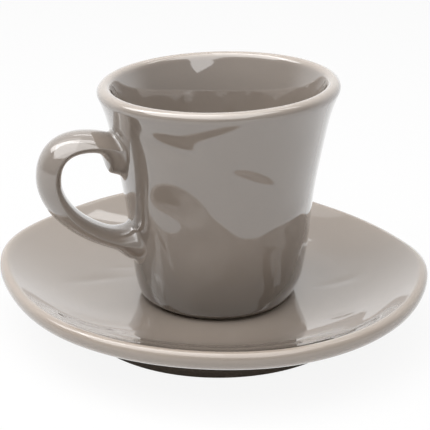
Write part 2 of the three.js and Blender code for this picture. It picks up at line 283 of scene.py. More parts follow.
# The noise's range that spreads over the whole way from the deep tone to the pale one
NOISE_RANGE = (0.3, 0.7)
COAT_ROUGHNESS = 0.02
# Detail of each of the mottle's noises
MOTTLE = {"Cloud": 3.0, "Grain": 2.0, "Ripple": 0.0}


def add_node(tree: Tree, kind: str, values: dict[str | int, object], **settings: object) -> bpy.types.Node:
    """Add a shader node with its properties and inputs.

    Args:
        tree: The node tree that takes it.
        kind: The node's type, without ShaderNode before it.
        values: Its inputs by name or number: a socket is linked, any other value is set.
        settings: The node's own properties.

    Returns:
        The node.
    """
    node = tree.nodes.new(f"ShaderNode{kind}")
    for name, setting in settings.items():
        setattr(node, name, setting)
    for name, value in values.items():
        if isinstance(value, Socket):
            tree.links.new(value, node.inputs[name])
        else:
            node.inputs[name].default_value = value
    return node


def mottle_group() -> Tree:
    """Node group of the finishes: cloudy tone, fine grain and a gentle ripple on Object coordinates.

    Returns:
        The group, with inputs Cloud Size, Grain Size and Ripple Size in metres.
    """
    group = bpy.data.node_groups.new("fired_mottle", "ShaderNodeTree")
    for label in MOTTLE:
        group.interface.new_socket(f"{label} Size", in_out="INPUT", socket_type="NodeSocketFloat")
    for label in MOTTLE:
        group.interface.new_socket(label, in_out="OUTPUT", socket_type="NodeSocketFloat")
    inputs = group.nodes.new("NodeGroupInput")
    outputs = group.nodes.new("NodeGroupOutput")
    place = add_node(group, "TexCoord", {}).outputs["Object"]
    for label, detail in MOTTLE.items():
        size = inputs.outputs[f"{label} Size"]
        scale = add_node(group, "Math", {0: 1.0, 1: size}, operation="DIVIDE").outputs["Value"]
        noise = add_node(group, "TexNoise", {"Detail": detail, "Vector": place, "Scale": scale})
        group.links.new(noise.outputs["Fac"], outputs.inputs[label])
    return group


@dataclass(frozen=True)
class Finish:
    """A fired surface with a drifting tone, paler on thin edges and darkened where painted shade is laid.

    Colours are linear; sizes are in metres.
    """

    name: str
    deep: Colour
    pale: Colour
    edge: Colour
    # Colour that painted shade mixes towards where the mark is negative
    painted_shade: Colour
    roughness: tuple[float, float]
    cloud_size: float
    grain_size: float
    grain_share: float
    ripple_size: float
    ripple_height: float
    coat: float
    refraction: float = 1.5

    def material(self, mottle: Tree) -> Material:
        """Build the material.

        Args:
            mottle: The shared mottle group.

        Returns:
            The material, named for the finish.
        """
        material = bpy.data.materials.new(self.name)
        material.use_nodes = True
        tree = material.node_tree
        sizes = (self.cloud_size, self.grain_size, self.ripple_size)
        named_sizes = {f"{label} Size": size for label, size in zip(MOTTLE, sizes)}
        pattern = add_node(tree, "Group", named_sizes, node_tree=mottle)
        cloud, grain, ripple = (pattern.outputs[label] for label in MOTTLE)

        blend = {"Factor": self.grain_share, "A": cloud, "B": grain}
        tone = add_node(tree, "Mix", blend, data_type="FLOAT").outputs["Result"]
        spread = {"From Min": NOISE_RANGE[0], "From Max": NOISE_RANGE[1], "Value": tone}
        drift = add_node(tree, "MapRange", spread).outputs["Result"]
        run = add_node(tree, "Attribute", {}, attribute_name="thin_glaze_and_painted_shade").outputs["Fac"]
        # Negative marks are painted shade, mixed in towards the painted shade colour
        painted_shade_mix = add_node(tree, "Math", {0: run, 1: -1.0}, operation="MULTIPLY").outputs["Value"]
        colour = (*self.deep, 1.0)
        for share, other in ((drift, self.pale), (run, self.edge), (painted_shade_mix, self.painted_shade)):
            colours = {"Factor": share, "A": colour, "B": (*other, 1.0)}
            colour = add_node(tree, "Mix", colours, data_type="RGBA").outputs["Result"]
        gloss = {"To Min": self.roughness[0], "To Max": self.roughness[1], "Value": cloud}
        wave = {"Strength": 1.0, "Distance": self.ripple_height, "Height": ripple}

        shader = tree.nodes["Principled BSDF"]
        tree.links.new(colour, shader.inputs["Base Color"])
        tree.links.new(add_node(tree, "MapRange", gloss).outputs["Result"], shader.inputs["Roughness"])
        tree.links.new(add_node(tree, "Bump", wave).outputs["Normal"], shader.inputs["Normal"])
        shader.inputs["IOR"].default_value = self.refraction
        shader.inputs["Coat IOR"].default_value = self.refraction
        shader.inputs["Coat Weight"].default_value = self.coat
        shader.inputs["Coat Roughness"].default_value = COAT_ROUGHNESS
        return material


CUP_GLAZE = Finish(
    name="taupe_glaze_cup",
    deep=(0.312, 0.263, 0.223),
    pale=(0.334, 0.283, 0.241),
    edge=(0.525, 0.440, 0.370),
    # Colour that the painted shade by the cup's foot darkens towards
    painted_shade=(0.075, 0.060, 0.045),
    roughness=(0.04, 0.08),
    cloud_size=0.03,
    grain_size=0.0005,
    grain_share=0.25,
    ripple_size=0.014,
    ripple_height=0.00002,
    coat=1.0,
    refraction=1.68,
)

# A paler copy of the cup's glaze: the extra paleness is painted light for the open dish, which the lamps
# light more than the cup's wall
SAUCER_GLAZE_WITH_PAINTED_LIGHT = replace(
    CUP_GLAZE,
    name="taupe_glaze_saucer_painted_light",
    deep=(0.428, 0.362, 0.309),
    pale=(0.456, 0.388, 0.332),
    refraction=1.5,
)

# Dark unglazed clay, made darker still by painted shade for the foot in the shadow under the saucer's rim
DRY_FOOT = Finish(
    name="dry_foot",
    deep=(0.16, 0.13, 0.105),
    pale=(0.24, 0.20, 0.165),
    edge=(0.330, 0.279, 0.238),
    painted_shade=(0.16, 0.13, 0.105),
    roughness=(0.75, 0.95),
    cloud_size=0.006,
    grain_size=0.0004,
    grain_share=0.6,
    ripple_size=0.0006,
    ripple_height=0.00008,
    coat=0.0,
)


# Cup


@dataclass(frozen=True)
class Press:
    """A thumb's mark in a wall: turn, place, half length, half width, lean in degrees and depth.

    The place is a height on the cup and a radius on the saucer. At lean 0 the mark lies level round the
    wall, and at 90 degrees it points up the cup or out of the dish. A negative depth is a swelling.
    """

    turn: float
    place: float
    length: float
    width: float
    lean: float
    depth: float

    def bell(self, around_wall: Array, up_wall: Array) -> Array:
        """Depth of the mark: a bell in its leaning long and short directions.

        Args:
            around_wall: Distances from the mark's middle round the wall.
            up_wall: Distances from its middle up or out.

        Returns:
            The depth at each point.
        """
        lean = math.radians(self.lean)
        long_way = (around_wall * math.cos(lean) + up_wall * math.sin(lean)) / self.length
        short_way = (up_wall * math.cos(lean) - around_wall * math.sin(lean)) / self.width
        return self.depth * np.exp(-(long_way**2) - short_way**2)


@dataclass(frozen=True)
class CupWall:
    """The wall that the cup's surfaces share: a straight body that bends into a cone with a flared lip."""

    height: float = 61.16
    mouth_radius: float = 32.7
    body_radius: float = 24.0
    thickness: float = 3.9
    bend_height: float = 20.0
    bend_length: float = 5.0
    lip_flare: float = 2.17
    lip_flare_height: float = 57.5
    lip_flare_length: float = 2.44
    flare_change: float = 1.0
    flare_change_turn: float = 64.0
    heel_round: float = 2.2
    heel_length: float = 4.5
    rim_rise: float = 0.84
    rim_rise_turn: float = -21.0
    foot_height: float = 1.0
    presses: tuple[Press, ...] = (
        Press(-134, 51, 6.5, 2.4, -18, 0.87),
        Press(-110, 55.1, 13, 2.2, 19, 0.3),
        Press(-90, 40.8, 7.3, 2.5, -29, 0.33),
        Press(-114, 42.8, 18.5, 5, -49, 0.51),
        Press(-134, 30.2, 8.3, 6.1, -44, 1.23),
        Press(-124, 22.6, 6.7, 4.6, 20, 1.0),
        Press(-86, 21.9, 30.6, 9.3, -6, -1.4),
        Press(-67, 28.4, 6, 2.8, 9, -0.47),
        Press(-45, 2, 11, 3.5, 0, 1.0),
        Press(20, 30, 12, 14, 0, 0.7),
        Press(80, 22, 12, 12, 0, 0.7),
        Press(130, 40, 12, 12, 0, 0.6),
    )

    @property
    def lip_radius(self) -> float:
        """Radius of the round lip, half the wall's thickness."""
        return self.thickness / 2

    @property
    def lip_height(self) -> float:
        """Height of the middle of the round lip."""
        return self.height - self.lip_radius

    @property
    def heel_radius(self) -> float:
        """Radius of the cup's underside."""
        return self.body_radius - self.heel_round

    @property
    def lip_step(self) -> float:
        """Share of the lip's flare that is reached at the middle of the lip."""
        return float(self.flare_step(np.array(self.lip_height)))

    @property
    def opening_slope(self) -> float:
        """How fast the cone opens with height, so that cone and flare together reach the mouth's radius."""
        flared = self.mouth_radius - self.lip_flare * self.lip_step
        return (flared - self.body_radius) / (self.lip_height - self.bend_height)

    def radius(self, height: Array) -> Array:
        """Outer radius: body, plus a soft bend into the cone, plus a lip flare that rises as a smooth step,
        less a heel that is drawn in exponentially towards the foot.

        Args:
            height: Heights above the cup's foot.

        Returns:
            The radius at each height.
        """
        heel = self.heel_round * np.exp((self.foot_height - height) / self.heel_length)
        flare = self.lip_flare * self.flare_step(height)
        return self.body_radius + self.opening_slope * self.opening(height) + flare - heel

    def opening(self, height: Array) -> Array:
        """Height above the bend, softened to zero below it by a logarithm of one plus an exponential.

        Args:
            height: Heights above the cup's foot.

        Returns:
            The softened heights.
        """
        return self.bend_length * np.log1p(np.exp((height - self.bend_height) / self.bend_length))

    def flare_step(self, height: Array) -> Array:
        """Smooth step from 0 below the lip flare to 1 above it.

        Args:
            height: Heights above the cup's foot.

        Returns:
            The step at each height.
        """
        return 1 / (1 + np.exp((self.lip_flare_height - height) / self.lip_flare_length))

    def slope(self, height: Array) -> Array:
        """Growth of the outer radius with height, the derivative of radius.

        Args:
            height: Heights above the cup's foot.

        Returns:
            The slope at each height.
        """
        opening = self.opening_slope / (1 + np.exp((self.bend_height - height) / self.bend_length))
        step = self.flare_step(height)
        flare = self.lip_flare / self.lip_flare_length * step * (1 - step)
        heel = self.heel_round / self.heel_length * np.exp((self.foot_height - height) / self.heel_length)
        return opening + flare + heel

    def point(self, height: Array, outwards: float = 0.0) -> Array:
        """Profile point at a height, moved out square to the wall.

        Args:
            height: Heights above the cup's foot.
            outwards: Distance out of the wall.

        Returns:
            Array of (radius, height) points.
        """
        lean = np.arctan(self.slope(height))
        radius = self.radius(height) + outwards * np.cos(lean)
        return np.stack([radius, height - outwards * np.sin(lean)], axis=-1)

    def top(self) -> float:
        """Find where the outside runs into the round lip, by closing in on it.

        Returns:
            The height.
        """
        height = self.lip_height
        for _ in range(CLOSING_ROUNDS):
            lean = math.atan(float(self.slope(np.array(height))))
            height = self.lip_height - self.lip_radius * math.sin(lean)
        return height

    def press(self, turn: Array, radius: Array, height: Array) -> Pair:
        """Press the marks in, flare one side more than the other and lift one side of the rim.

        A mark fades with the square of the share of the radius. Where the lip flares more, the cone below
        opens less, so the mouth stays round. The rim rises with the cube of the height on one side and
        sinks on the other.

        Args:
            turn: Turns in radians.
            radius: Radii before pressing.
            height: Heights before pressing.

        Returns:
            The new radii and heights.
        """
        outside = self.radius(height)
        opened = self.lip_step * self.opening(height) / (self.lip_height - self.bend_height)
        flared = self.flare_change * (self.flare_step(height) - opened)
        depth = -flared * np.cos(turn_between(turn, self.flare_change_turn))
        for mark in self.presses:
            depth = depth + mark.bell(outside * turn_between(turn, mark.turn), height - mark.place)
        rise = ((height - self.foot_height) / (self.height - self.foot_height)) ** 3
        side = radius * np.cos(turn_between(turn, self.rim_rise_turn)) / self.mouth_radius
        return radius - depth * (radius / outside) ** 2, height + self.rim_rise * rise * side

    def outer_gap(self, points: Array) -> Array:
        """How far points lie outside the pressed wall, measured along the radius.

        Args:
            points: Array of (..., 3) points about the cup's axis, heights from its foot.

        Returns:
            The gaps, negative inside the wall.
        """
        x, y, height = np.moveaxis(points, -1, 0)
        pressed, _ = self.press(np.arctan2(y, x), self.radius(height), height)
        return np.hypot(x, y) - pressed

    def onto_wall(self, points: Array, outwards: float = 0.0) -> Array:
        """Move points along the radius onto the pressed wall.

        Args:
            points: Array of (..., 3) points about the cup's axis.
            outwards: Distance to leave outside the wall.

        Returns:
            The moved points.
        """
        x, y, height = np.moveaxis(points, -1, 0)
        distance = np.hypot(x, y)
        scale = (distance - self.outer_gap(points) + outwards) / distance
        return np.stack([x * scale, y * scale, height], axis=-1)


def turned_grid(
    profile: Array,
    columns: int,
    place: Array,
    press: Callable[[Array, Array, Array], Pair] | None = None,
) -> Array:
    """Carry a profile round the axis: radius times (cos, sin), and the height.

    Args:
        profile: Array of (rows, 2) points, (radius, height).
        columns: Number of points round the axis.
        place: Where the pot stands: its axis and the height of its foot.
        press: What changes the round form's radii and heights by turn, if anything.

    Returns:
        Array of (rows, columns, 3) points in the row frame.
    """
    turn = np.linspace(0.0, 2 * np.pi, columns, endpoint=False) * np.ones((len(profile), 1))
    radius = profile[:, :1] * np.ones_like(turn)
    height = profile[:, 1:] * np.ones_like(turn)
    if press is not None:
        radius, height = press(turn, radius, height)
    return np.stack([radius * np.cos(turn), radius * np.sin(turn), height], axis=-1) + place


class Pot:
    """What the cup and the saucer share: a glazed body and a dry foot that ride together."""

    rides: ClassVar[Body]
    pieces: list[Piece]

    def dress(self, glaze: Material, dry: Material) -> None:
        """Give the pieces their finishes and let them ride.

        Args:
            glaze: The glaze.
            dry: The finish of the foot.
        """
        body, foot = self.pieces
        dress(body, glaze, self.rides)
        dress(foot, dry, self.rides)


@dataclass
class Cup(Pot):
    """The cup's body and foot ring."""

    rides: ClassVar[Body] = Body.CUP
    wall: CupWall
    place: Array
    floor: float = 3.6
    floor_corner: float = 7.0
    heel_edge: float = 1.0
    heel_rise: float = 1.4
    lip_thin: float = 1.1
    # Painted shade on the outside above the foot: the height of its bell and its share
    painted_shade_height: float = 15.0
    painted_shade_share: float = 0.9
    foot_inset: float = 1.7
    under_rows: int = 12
    heel_rows: int = 10
    outside_rows: int = 120
    lip_steps: int = 24
    inside_rows: int = 70
    corner_steps: int = 14
    floor_rows: int = 10
    columns: int = 256

    def profile(self) -> Pair:
        """Profile from the underside's middle, up the outside, over the lip and down to the floor's middle.

        Returns:
            Array of (rows, 2) points, and a mark at each: thin glaze on the lip's crown, and painted shade,
            a bell in the height, on the outside above the foot.
        """
        wall = self.wall
        top = wall.top()
        lean = math.atan(float(wall.slope(np.array(top))))
        under_radius = np.linspace(TIP_RADIUS, wall.heel_radius - self.heel_edge, self.under_rows)
        under = level_row(under_radius, wall.foot_height)
        heel_top = wall.foot_height + self.heel_rise
        heel_corner = np.array([wall.heel_radius, wall.foot_height])
        heel_share = np.linspace(0.0, 1.0, self.heel_rows)[1:-1, None]
        heel = bezier([under[-1], heel_corner, wall.point(np.array(heel_top))], heel_share)
        outside = wall.point(np.linspace(heel_top, top, self.outside_rows))
        lip_centre = wall.point(np.array(top), -wall.lip_radius)
        lip = arc(lip_centre, wall.lip_radius, -lean, math.pi - lean, self.lip_steps)[1:-1]
        corner_top = wall.foot_height + self.floor + self.floor_corner
        inside = wall.point(np.linspace(top, corner_top, self.inside_rows), -wall.thickness)
        corner_centre = inside[-1] - np.array([self.floor_corner, 0.0])
        corner = arc(corner_centre, self.floor_corner, 0.0, -math.pi / 2, self.corner_steps)[1:]
        floor_radius = np.linspace(corner[-1, 0], TIP_RADIUS, self.floor_rows)[1:]
        floor = level_row(floor_radius, corner[-1, 1])
        profile = np.concatenate([under, heel, outside, lip, inside, corner, floor])
        below_crown = (profile - lip_centre)[:, 1] - wall.lip_radius
        crown = np.exp(-((below_crown / self.lip_thin) ** 2))
        # Painted shade: darker towards the foot on the outside, where the lip's flare keeps the overhead
        # light off the wall
        painted_shade_bell = self.painted_shade_share * np.exp(-(((profile[:, 1] - wall.foot_height) / self.painted_shade_height) ** 2))
        painted_shade_bell[len(under) + len(heel) + len(outside):] = 0.0
        return profile, crown - painted_shade_bell

    def build(self) -> None:
        """Build the body and the foot ring."""
        profile, run = self.profile()
        grid = turned_grid(profile, self.columns, self.place, self.wall.press)
        body = closed_tube("cup_glazed_body", grid, run)
        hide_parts("cup_body")
        ring = FootRing(self.wall.heel_radius - self.foot_inset, self.wall.foot_height)
        foot = ring.build("cup_dry_foot", self.place, self.columns)
        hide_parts("cup_foot_ring")
        self.pieces = [body, foot]


@dataclass(frozen=True)
class FootRing:
    """A ring under a pot: a rectangle with rounded lower corners, turned about the axis."""

    outer: float
    height: float
    width: float = 4.0
    edge: float = 0.5
    edge_steps: int = 6

    def build(self, name: str, place: Array, columns: int) -> Piece:
        """Build the ring; its edges stay crisp in the shading, apart from the rounded corners.

        Args:
            name: Name of the piece.
            place: Where the pot stands: its axis and the height of its foot.
            columns: Number of points round the axis.

        Returns:
            The new object.
        """
        inner = self.outer - self.width
        outer_middle = np.array([self.outer - self.edge, self.edge])
        inner_middle = np.array([inner + self.edge, self.edge])
        outer_corner = arc(outer_middle, self.edge, -math.pi / 2, 0.0, self.edge_steps)
        inner_corner = arc(inner_middle, self.edge, -math.pi, -math.pi / 2, self.edge_steps)
        upper = level_row(np.array([self.outer, inner]), self.height)
        grid = turned_grid(np.concatenate([outer_corner, upper, inner_corner]), columns, place)
        last = self.edge_steps
        return closed_ring(name, grid, (last, last + 1, last + 2, last + 3))


def dress(piece: Piece, material: Material, body: Body) -> None:
    """Give a piece its material and slot and let it ride on a body.

    Args:
        piece: The piece.
        material: Its material.
        body: The body that it rides on.
    """
    piece.data.materials.append(material)
    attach(piece, body.value)
    log.info("%s: %d faces, rides on %s", piece.name, len(piece.data.polygons), body.value)


# Handle


@dataclass(frozen=True)
class Root:
    """How much thicker the handle is at one root, outside and inside its loop, and over what lengths."""

    outer: tuple[float, float]
    inner: tuple[float, float]


@dataclass
class Handle:
    """The pulled loop handle and the slip that joins it to the wall."""

    wall: CupWall
    place: Array
    top_drop: float = 16.8
    bottom_height: float = 17.7
    standoff: float = 23.4
    belly_drop: float = 5.4
    top_pull: float = 17.4
    top_lift: float = 7.7
    bottom_pull: float = 18.8
    bottom_lift: float = 2.4
    belly_pull_up: float = 8.5
    belly_pull_down: float = 7.7
    width: float = 13.2
    outer_depth: float = 2.9
    inner_depth: float = 2.6
    outer_arch: float = 1.8
    inner_arch: float = 1.25
    belly_swell: float = 0.4
    belly_length: float = 12.0
    root_depth: float = 5.0
    upper: Root = Root((-0.3, 4.6), (5.1, 3.4))
    lower: Root = Root((2.3, 3.6), (2.7, 4.2))
    buried: float = 1.2
    slip_width: float = 1.8
    slip_overlap: float = 0.02
    slip_sink: float = 1.0
    slip_sink_share: float = 0.25
    slip_steps: int = 12
    arm_points: int = 400
    line_steps: int = 600
    search_points: int = 2400
    steps: int = 160
    sides: int = 96
    pieces: list[Piece] = field(default_factory=list)

    def line(self) -> Array:
        """Middle line as (distance from the axis, height): two cubic arms that meet at the belly.

        Returns:
            Points spread evenly along the line.
        """
        ends = np.array([self.wall.height - self.top_drop, self.bottom_height])
        upper, lower = np.stack([self.wall.radius(ends) - self.root_depth, ends], axis=-1)
        belly = np.array([self.wall.body_radius + self.standoff, upper[1] - self.belly_drop])
        share = np.linspace(0.0, 1.0, self.arm_points)[:, None]
        upper_pull = upper + (self.top_pull, self.top_lift)
        lower_pull = lower + (self.bottom_pull, self.bottom_lift)
        first = bezier([upper, upper_pull, belly + (0.0, self.belly_pull_up), belly], share)
        second = bezier([belly, belly - (0.0, self.belly_pull_down), lower_pull, lower], share)
        arms = np.concatenate([first, second[1:]])
        run = running_length(arms)
        wanted = np.linspace(0.0, run[-1], self.line_steps + 1)
        return np.stack([np.interp(wanted, run, column) for column in arms.T], axis=-1)

    @staticmethod
    def flare(distance: Array, amount: float, length: float) -> Array:
        """A bell that fades with the distance from the wall.

        Args:
            distance: Distances along the handle beyond the wall.
            amount: Extra thickness at the wall.
            length: Distance over which it fades.

        Returns:
            The extra thickness.
        """
        return amount * np.exp(-((np.maximum(0.0, distance) / length) ** 2))

    def surface(self, distance: Array, angle: Array) -> Array:
        """Points of the handle's surface about the cup's axis.

        The section is carried square to the middle line. It is two arches, each a power of the sine over the
        cosine, that meet at the sides in a soft crease. Both swell by bells at the roots and at the belly.

        Args:
            distance: Distances along the line.
            angle: Angles round the section, in radians, shaped like distance.

        Returns:
            Array of (..., 3) points.
        """
        line = self.line()
        run = running_length(line)
        along = np.gradient(line, run, axis=0)
        along = along / np.linalg.norm(along, axis=1, keepdims=True)
        reach, height = (np.interp(distance, run, column) for column in line.T)
        along_reach, along_height = (np.interp(distance, run, column) for column in along.T)
        from_top = distance - self.root_depth
        from_bottom = run[-1] - distance - self.root_depth
        from_belly = np.abs(distance - run[line[:, 0].argmax()])
        swell = self.flare(from_belly, self.belly_swell, self.belly_length)
        outer = self.outer_depth + swell + self.flare(from_top, *self.upper.outer)
        outer = outer + self.flare(from_bottom, *self.lower.outer)
        inner = self.inner_depth + swell + self.flare(from_top, *self.upper.inner)
        inner = inner + self.flare(from_bottom, *self.lower.inner)
        rise = np.abs(np.sin(angle))
        offset = np.where(np.sin(angle) > 0, outer * rise**self.outer_arch, -inner * rise**self.inner_arch)
        out = reach - along_height * offset
        return np.stack([-out, np.cos(angle) * self.width / 2, height + along_reach * offset], axis=-1)

    def crossing(self, angle: Array, gap: float) -> Pair:
        """Where each lengthwise line of the handle passes a gap outside the wall, at both roots.

        Args:
            angle: Angles round the section.
            gap: Gap outside the wall, negative inside it.

        Returns:
            Distances along the line at the upper and the lower root.
        """
        length = running_length(self.line())[-1]
        distance = np.linspace(0.0, length, self.search_points)[:, None] * np.ones_like(angle)
        points = self.surface(distance, angle * np.ones_like(distance))
        outside = self.wall.outer_gap(points) > gap
        first = outside.argmax(axis=0)
        last = len(distance) - 1 - outside[::-1].argmax(axis=0)
        return distance[first, 0], distance[last, 0]

    def build(self) -> None:
        """Build the handle and its two slip joints."""
        angle = np.linspace(0.0, 2 * np.pi, self.sides, endpoint=False)
        start, end = self.crossing(angle, -self.buried)
        share = np.linspace(0.0, 1.0, self.steps + 1)[:, None]
        distance = start + (end - start) * share
        grid = self.surface(distance, angle * np.ones_like(distance))
        handle = closed_tube("cup_pulled_handle", (grid + self.place)[::-1])
        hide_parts("cup_handle")
        upper_cross, lower_cross = self.crossing(angle, 0.0)
        upper = self.slip("handle_upper_slip", angle, upper_cross, 1.0)
        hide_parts("handle_upper_slip_joint")
        lower = self.slip("handle_lower_slip", angle, lower_cross, -1.0)
        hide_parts("handle_lower_slip_joint")
        self.pieces = [handle, upper, lower]

    def slip(self, name: str, angle: Array, cross: Array, away: float) -> Piece:
        """A smoothed line of slip round one root.

        On each lengthwise line a quadratic curve leaves the handle along its surface and lands on the wall
        along the wall; two hidden rows inside the handle and the wall close the ring.

        Args:
            name: Name of the piece.
            angle: Angles round the section.
            cross: Where each line meets the wall.
            away: Direction along the line that leads away from the wall, 1 or -1.

        Returns:
            The new object.
        """
        corner = self.wall.onto_wall(self.surface(cross, angle))
        handle_side = self.surface(cross + away * self.slip_width, angle)
        round_line = np.roll(corner, -1, axis=0) - np.roll(corner, 1, axis=0)
        outwards = corner * (1.0, 1.0, 0.0)
        outwards = outwards / np.linalg.norm(outwards, axis=1, keepdims=True)
        spread = np.cross(round_line, outwards)
        spread = spread / np.linalg.norm(spread, axis=1, keepdims=True)
        from_middle = corner - corner.mean(axis=0)
        spread = spread * np.sign((spread * from_middle).sum(axis=1).mean())
        wall_side = self.wall.onto_wall(corner + self.slip_width * spread, -self.slip_overlap)
        share = np.linspace(0.0, 1.0, self.slip_steps + 1)[:, None, None]
        curve = bezier([handle_side[None], corner[None], wall_side[None]], share)
        sunk_wall = self.wall.onto_wall(wall_side, -self.slip_sink)
        inwards = handle_side.mean(axis=0) - handle_side
        sunk_handle = handle_side + self.slip_sink_share * inwards
        grid = np.concatenate([curve, sunk_wall[None], sunk_handle[None]])
        if away > 0:
            grid = grid[::-1]
        sharp = (0, self.slip_steps) if away < 0 else (1, 2, self.slip_steps + 2)
        return closed_ring(name, grid + self.place, sharp)

    def dress(self, glaze: Material) -> None:
        """Glaze the handle and its slip and let them ride on the cup.

        Args:
            glaze: The cup's glaze.
        """
        for piece in self.pieces:
            dress(piece, glaze, Body.CUP)


# Saucer


@dataclass
class Saucer(Pot):
    """The wide saucer with its uneven rim, and its foot ring."""

    rides: ClassVar[Body] = Body.SAUCER
    place: Array
    well_radius: float
    radius: float = 59.44
    rim_height: float = 17.8
    crest_radius: float = 1.7
    rim_under_radius: float = 3.0
    rim_face_lean: float = 13.0
    floor: float = 4.5
    bend_radius: float = 41.0
    foot_radius: float = 38.3
    foot_height: float = 3.5
    crest_thin: float = 1.6
    crest_shift: float = 0.5
    reach_changes: tuple[float, ...] = (-3.6, -4.0, 0.8, 2.5, 1.6, 2.6, -0.5, -0.2, 0.3, 0.9, -0.1, -1.4)
    rim_changes: tuple[float, ...] = (-0.8, -0.6, 0.1, 0.2, 0.0, 0.7, 0.0, 0.0, -0.1, -0.3, 0.0, 1.4)
    presses: tuple[Press, ...] = (
        Press(-162, 44.5, 12, 4, -45, 0.5),
        Press(131, 31.7, 4, 1.2, 48, 0.1),
        Press(151, 35.2, 9, 2, 48, 0.2),
        Press(-54, 38.6, 3.4, 1, 44, 0.1),
        Press(-60, 51, 12, 3, 0, 0.35),
        Press(-15, 35.6, 6, 2, 80, 0.2),
        Press(4, 44, 12, 7, 0, 0.4),
        Press(75, 45, 15, 7, 0, 0.7),
    )
    under_rows: int = 16
    flank_rows: int = 30
    rim_steps: int = 16
    dish_rows: int = 100
    floor_rows: int = 20
    columns: int = 400

    @property
    def well_height(self) -> float:
        """Height of the flat well."""
        return self.foot_height + self.floor

    def rim_middles(self) -> Pair:
        """Middles of the rim's two arcs: the narrow crest and the full underside, which touch on the face.

        Returns:
            The crest's middle and the underside's middle, each (radius, height).
        """
        lean = math.radians(self.rim_face_lean)
        apart = (self.rim_under_radius - self.crest_radius) * np.array([math.cos(lean), math.sin(lean)])
        crest_height = self.rim_height - self.crest_radius
        under = np.array([self.radius - self.rim_under_radius, crest_height - apart[1]])
        return under + apart, under

    def profile(self) -> Pair:
        """Profile from the underside's middle, up the flank, round the rim and down the dish to the well.

        Returns:
            Array of (rows, 2) points, and how thin the glaze lies at each: most on the rim's crest.
        """
        crest, under_rim = self.rim_middles()
        flank_foot = np.array([self.foot_radius, self.foot_height])
        bend = np.array([self.bend_radius, self.well_height])
        to_rim = under_rim - flank_foot
        flank_lean = math.asin(self.rim_under_radius / np.linalg.norm(to_rim))
        flank_angle = math.atan2(to_rim[1], to_rim[0]) - flank_lean
        from_bend = crest - bend
        dish_lean = math.asin(self.crest_radius / np.linalg.norm(from_bend))
        dish_angle = math.atan2(from_bend[1], from_bend[0]) + dish_lean
        face = math.radians(self.rim_face_lean)
        flank_end = flank_angle - math.pi / 2
        lower_rim = arc(under_rim, self.rim_under_radius, flank_end, face, self.rim_steps)
        upper_rim = arc(crest, self.crest_radius, face, dish_angle + math.pi / 2, self.rim_steps)[1:]
        under_radius = np.linspace(TIP_RADIUS, self.foot_radius, self.under_rows)[:-1]
        under = level_row(under_radius, self.foot_height)
        flank_share = np.linspace(0.0, 1.0, self.flank_rows)[:-1, None]
        flank = flank_foot + (lower_rim[0] - flank_foot) * flank_share
        well = np.array([self.well_radius, self.well_height])
        dish = bezier([upper_rim[-1], bend, well], np.linspace(0.0, 1.0, self.dish_rows)[1:, None])
        floor_radius = np.linspace(self.well_radius, TIP_RADIUS, self.floor_rows)[1:]
        floor = level_row(floor_radius, self.well_height)
        profile = np.concatenate([under, flank, lower_rim, upper_rim, dish, floor])
        from_crest = np.linalg.norm(profile - crest - (self.crest_shift, self.crest_radius), axis=1)
        return profile, np.exp(-((from_crest / self.crest_thin) ** 2))

    def press(self, turn: Array, radius: Array, height: Array) -> Pair:
        """Draw the round dish out to its uneven rim and press the marks into its upper side.

        The reach grows straight from the foot to the edge and the rim's height with its square. Only the
        upper side takes the marks.

        Args:
            turn: Turns in radians.
            radius: Radii before pressing.
            height: Heights before pressing.

        Returns:
            The new radii and heights.
        """
        crest, under_rim = self.rim_middles()
        share = np.clip((radius - self.foot_radius) / (crest[0] - self.foot_radius), 0.0, 1.0)
        flank_rise = (under_rim[1] - self.foot_height) * share
        above_flank = np.clip((height - self.foot_height - flank_rise) / self.rim_under_radius, 0.0, 1.0)
        depth = np.zeros_like(radius)
        for mark in self.presses:
            along = mark.place * turn_between(turn, mark.turn)
            depth = depth + mark.bell(along, radius - mark.place)
        in_dish = np.where(radius > self.well_radius, above_flank, 0.0)
        new_radius = radius + share * around(self.reach_changes, turn)
        new_height = height + share**2 * around(self.rim_changes, turn) - depth * in_dish
        return new_radius, new_height

    def build(self) -> None:
        """Build the dish and the foot ring."""
        profile, run = self.profile()
        grid = turned_grid(profile, self.columns, self.place, self.press)
        dish = closed_tube("saucer_glazed_dish", grid, run)
        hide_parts("saucer_dish")
        ring = FootRing(self.foot_radius, self.foot_height)
        foot = ring.build("saucer_dry_foot", self.place, self.columns)
        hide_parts("saucer_foot_ring")
        self.pieces = [dish, foot]


# Studio


@dataclass(frozen=True)
class Softbox:
    """A soft lamp aimed at the cup: place in the camera's directions, size in metres and power in watts."""

    name: str
    right: float
    away: float
    up: float
    width: float
    depth: float
    power: float


